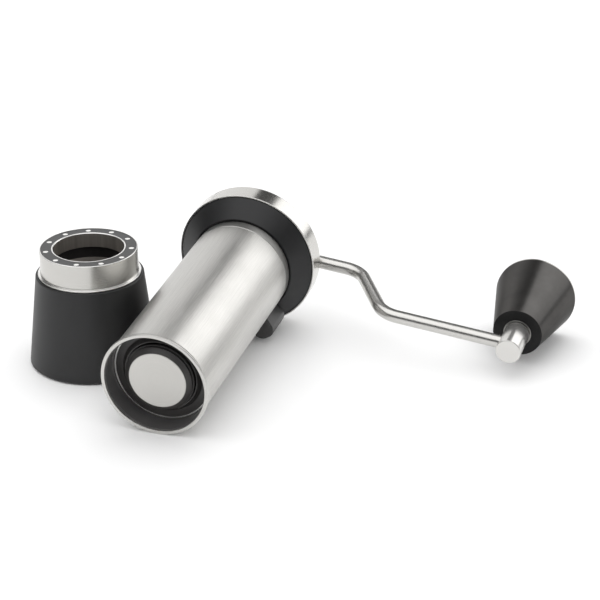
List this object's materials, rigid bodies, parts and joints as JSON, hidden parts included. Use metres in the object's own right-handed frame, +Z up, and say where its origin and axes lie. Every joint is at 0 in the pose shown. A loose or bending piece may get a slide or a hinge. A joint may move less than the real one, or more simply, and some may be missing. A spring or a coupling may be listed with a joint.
{
  "type": "hand crank coffee grinder",
  "caption": "Hand crank coffee grinder: brushed steel tube, black hopper collar, steel lid with a cranked arm and tapered black knob, and a black catch cup with a magnetic steel collar.",
  "frame": {"origin": "middle of the whole box's footprint, on the surface that the grinder lies on and the cup stands on", "axes": "+Z up; +X from the standing cup towards the crank knob; +Y along the lying grinder from its open mouth to its lid"},
  "size_m": [0.28, 0.182, 0.0791],
  "materials": {
    "tube_steel": "satin stainless, fine brushing along the tube",
    "bright_steel": "turned and finely brushed stainless",
    "rod_steel": "drawn stainless rod, satin",
    "burr_steel": "hardened steel, ground",
    "black_body": "satin black, very fine grain",
    "black_metal": "black anodised, satin",
    "black_grip": "soft satin black",
    "inner_alloy": "machined, clear anodised",
    "bearing_steel": "ground bearing steel",
    "bronze": "sintered bronze",
    "magnet_plate": "nickel plated",
    "foot_rubber": "matt"
  },
  "bodies": {
    "housing": {"body_tube": "tube_steel", "neck_ring": "tube_steel", "mouth_liner": "black_metal", "burr_carrier": "black_metal", "keeper_ring": "bright_steel", "outer_burr": "burr_steel", "throat_cone": "black_metal", "lower_spider": "inner_alloy", "lower_bush": "bronze", "top_bridge": "inner_alloy", "bridge_screw_1": "bright_steel", "bridge_screw_2": "bright_steel", "bridge_screw_3": "bright_steel", "hopper_collar": "black_body", "thumb_rest": "black_body"},
    "dial": {"adjust_dial": "black_metal"},
    "carriage": {"lift_sleeve": "bright_steel", "bearing_outer": "bearing_steel"},
    "spindle": {"drive_shaft": "bright_steel", "shaft_clip": "bearing_steel", "bearing_inner": "bearing_steel", "bearing_cage": "bronze", "bean_breaker": "burr_steel", "inner_burr": "burr_steel", "burr_flange": "black_metal", "burr_disc": "bright_steel"},
    "crank": {"lid_cap": "bright_steel", "lid_insert": "black_body", "crank_hub": "bright_steel", "hub_magnet": "magnet_plate", "arm_grub": "bright_steel", "crank_arm": "rod_steel", "cross_pin": "rod_steel", "knob_nut": "bright_steel"},
    "knob": {"knob_grip": "black_grip", "knob_bush": "bright_steel", "knob_cap": "bright_steel"},
    "cup": {"cup_sleeve": "black_body", "cup_foot_ring": "foot_rubber", "cup_floor_plate": "inner_alloy", "cup_collar": "bright_steel", "magnet_ring": "black_metal", "cup_magnet_01": "magnet_plate", "cup_magnet_02": "magnet_plate", "cup_magnet_03": "magnet_plate", "cup_magnet_04": "magnet_plate", "cup_magnet_05": "magnet_plate", "cup_magnet_06": "magnet_plate", "cup_magnet_07": "magnet_plate", "cup_magnet_08": "magnet_plate", "cup_magnet_09": "magnet_plate", "cup_magnet_10": "magnet_plate", "cup_magnet_11": "magnet_plate"}
  },
  "joints": [
    {"name": "dial_turn", "type": "hinge", "parent": "housing", "child": "dial", "pos_m": [-0.03931, 0.05472, 0.03936], "axis": [0, 0.9974, 0.0717], "range_deg": [0, 360]},
    {"name": "burr_gap", "type": "slide", "parent": "housing", "child": "carriage", "axis": [0, -0.9974, -0.0717], "range_m": [0, 0.001]},
    {"name": "crank_spin", "type": "hinge", "parent": "carriage", "child": "spindle", "pos_m": [-0.03931, 0.01083, 0.0362], "axis": [0, -0.9974, -0.0717], "continuous": true},
    {"name": "crank_pull", "type": "slide", "parent": "spindle", "child": "crank", "axis": [0, 0.9974, 0.0717], "range_m": [0, 0.06]},
    {"name": "knob_spin", "type": "hinge", "parent": "crank", "child": "knob", "pos_m": [0.1176, 0.06209, 0.0205], "axis": [0, 0.9974, 0.0717], "continuous": true},
    {"name": "cup_lift", "type": "slide", "parent": "housing", "child": "cup", "axis": [0, 0, 1], "range_m": [0, 0.06]}
  ],
  "couplings": [
    {"joint": "dial_turn", "follows": "burr_gap", "rad_per_m": 6283.2}
  ]
}
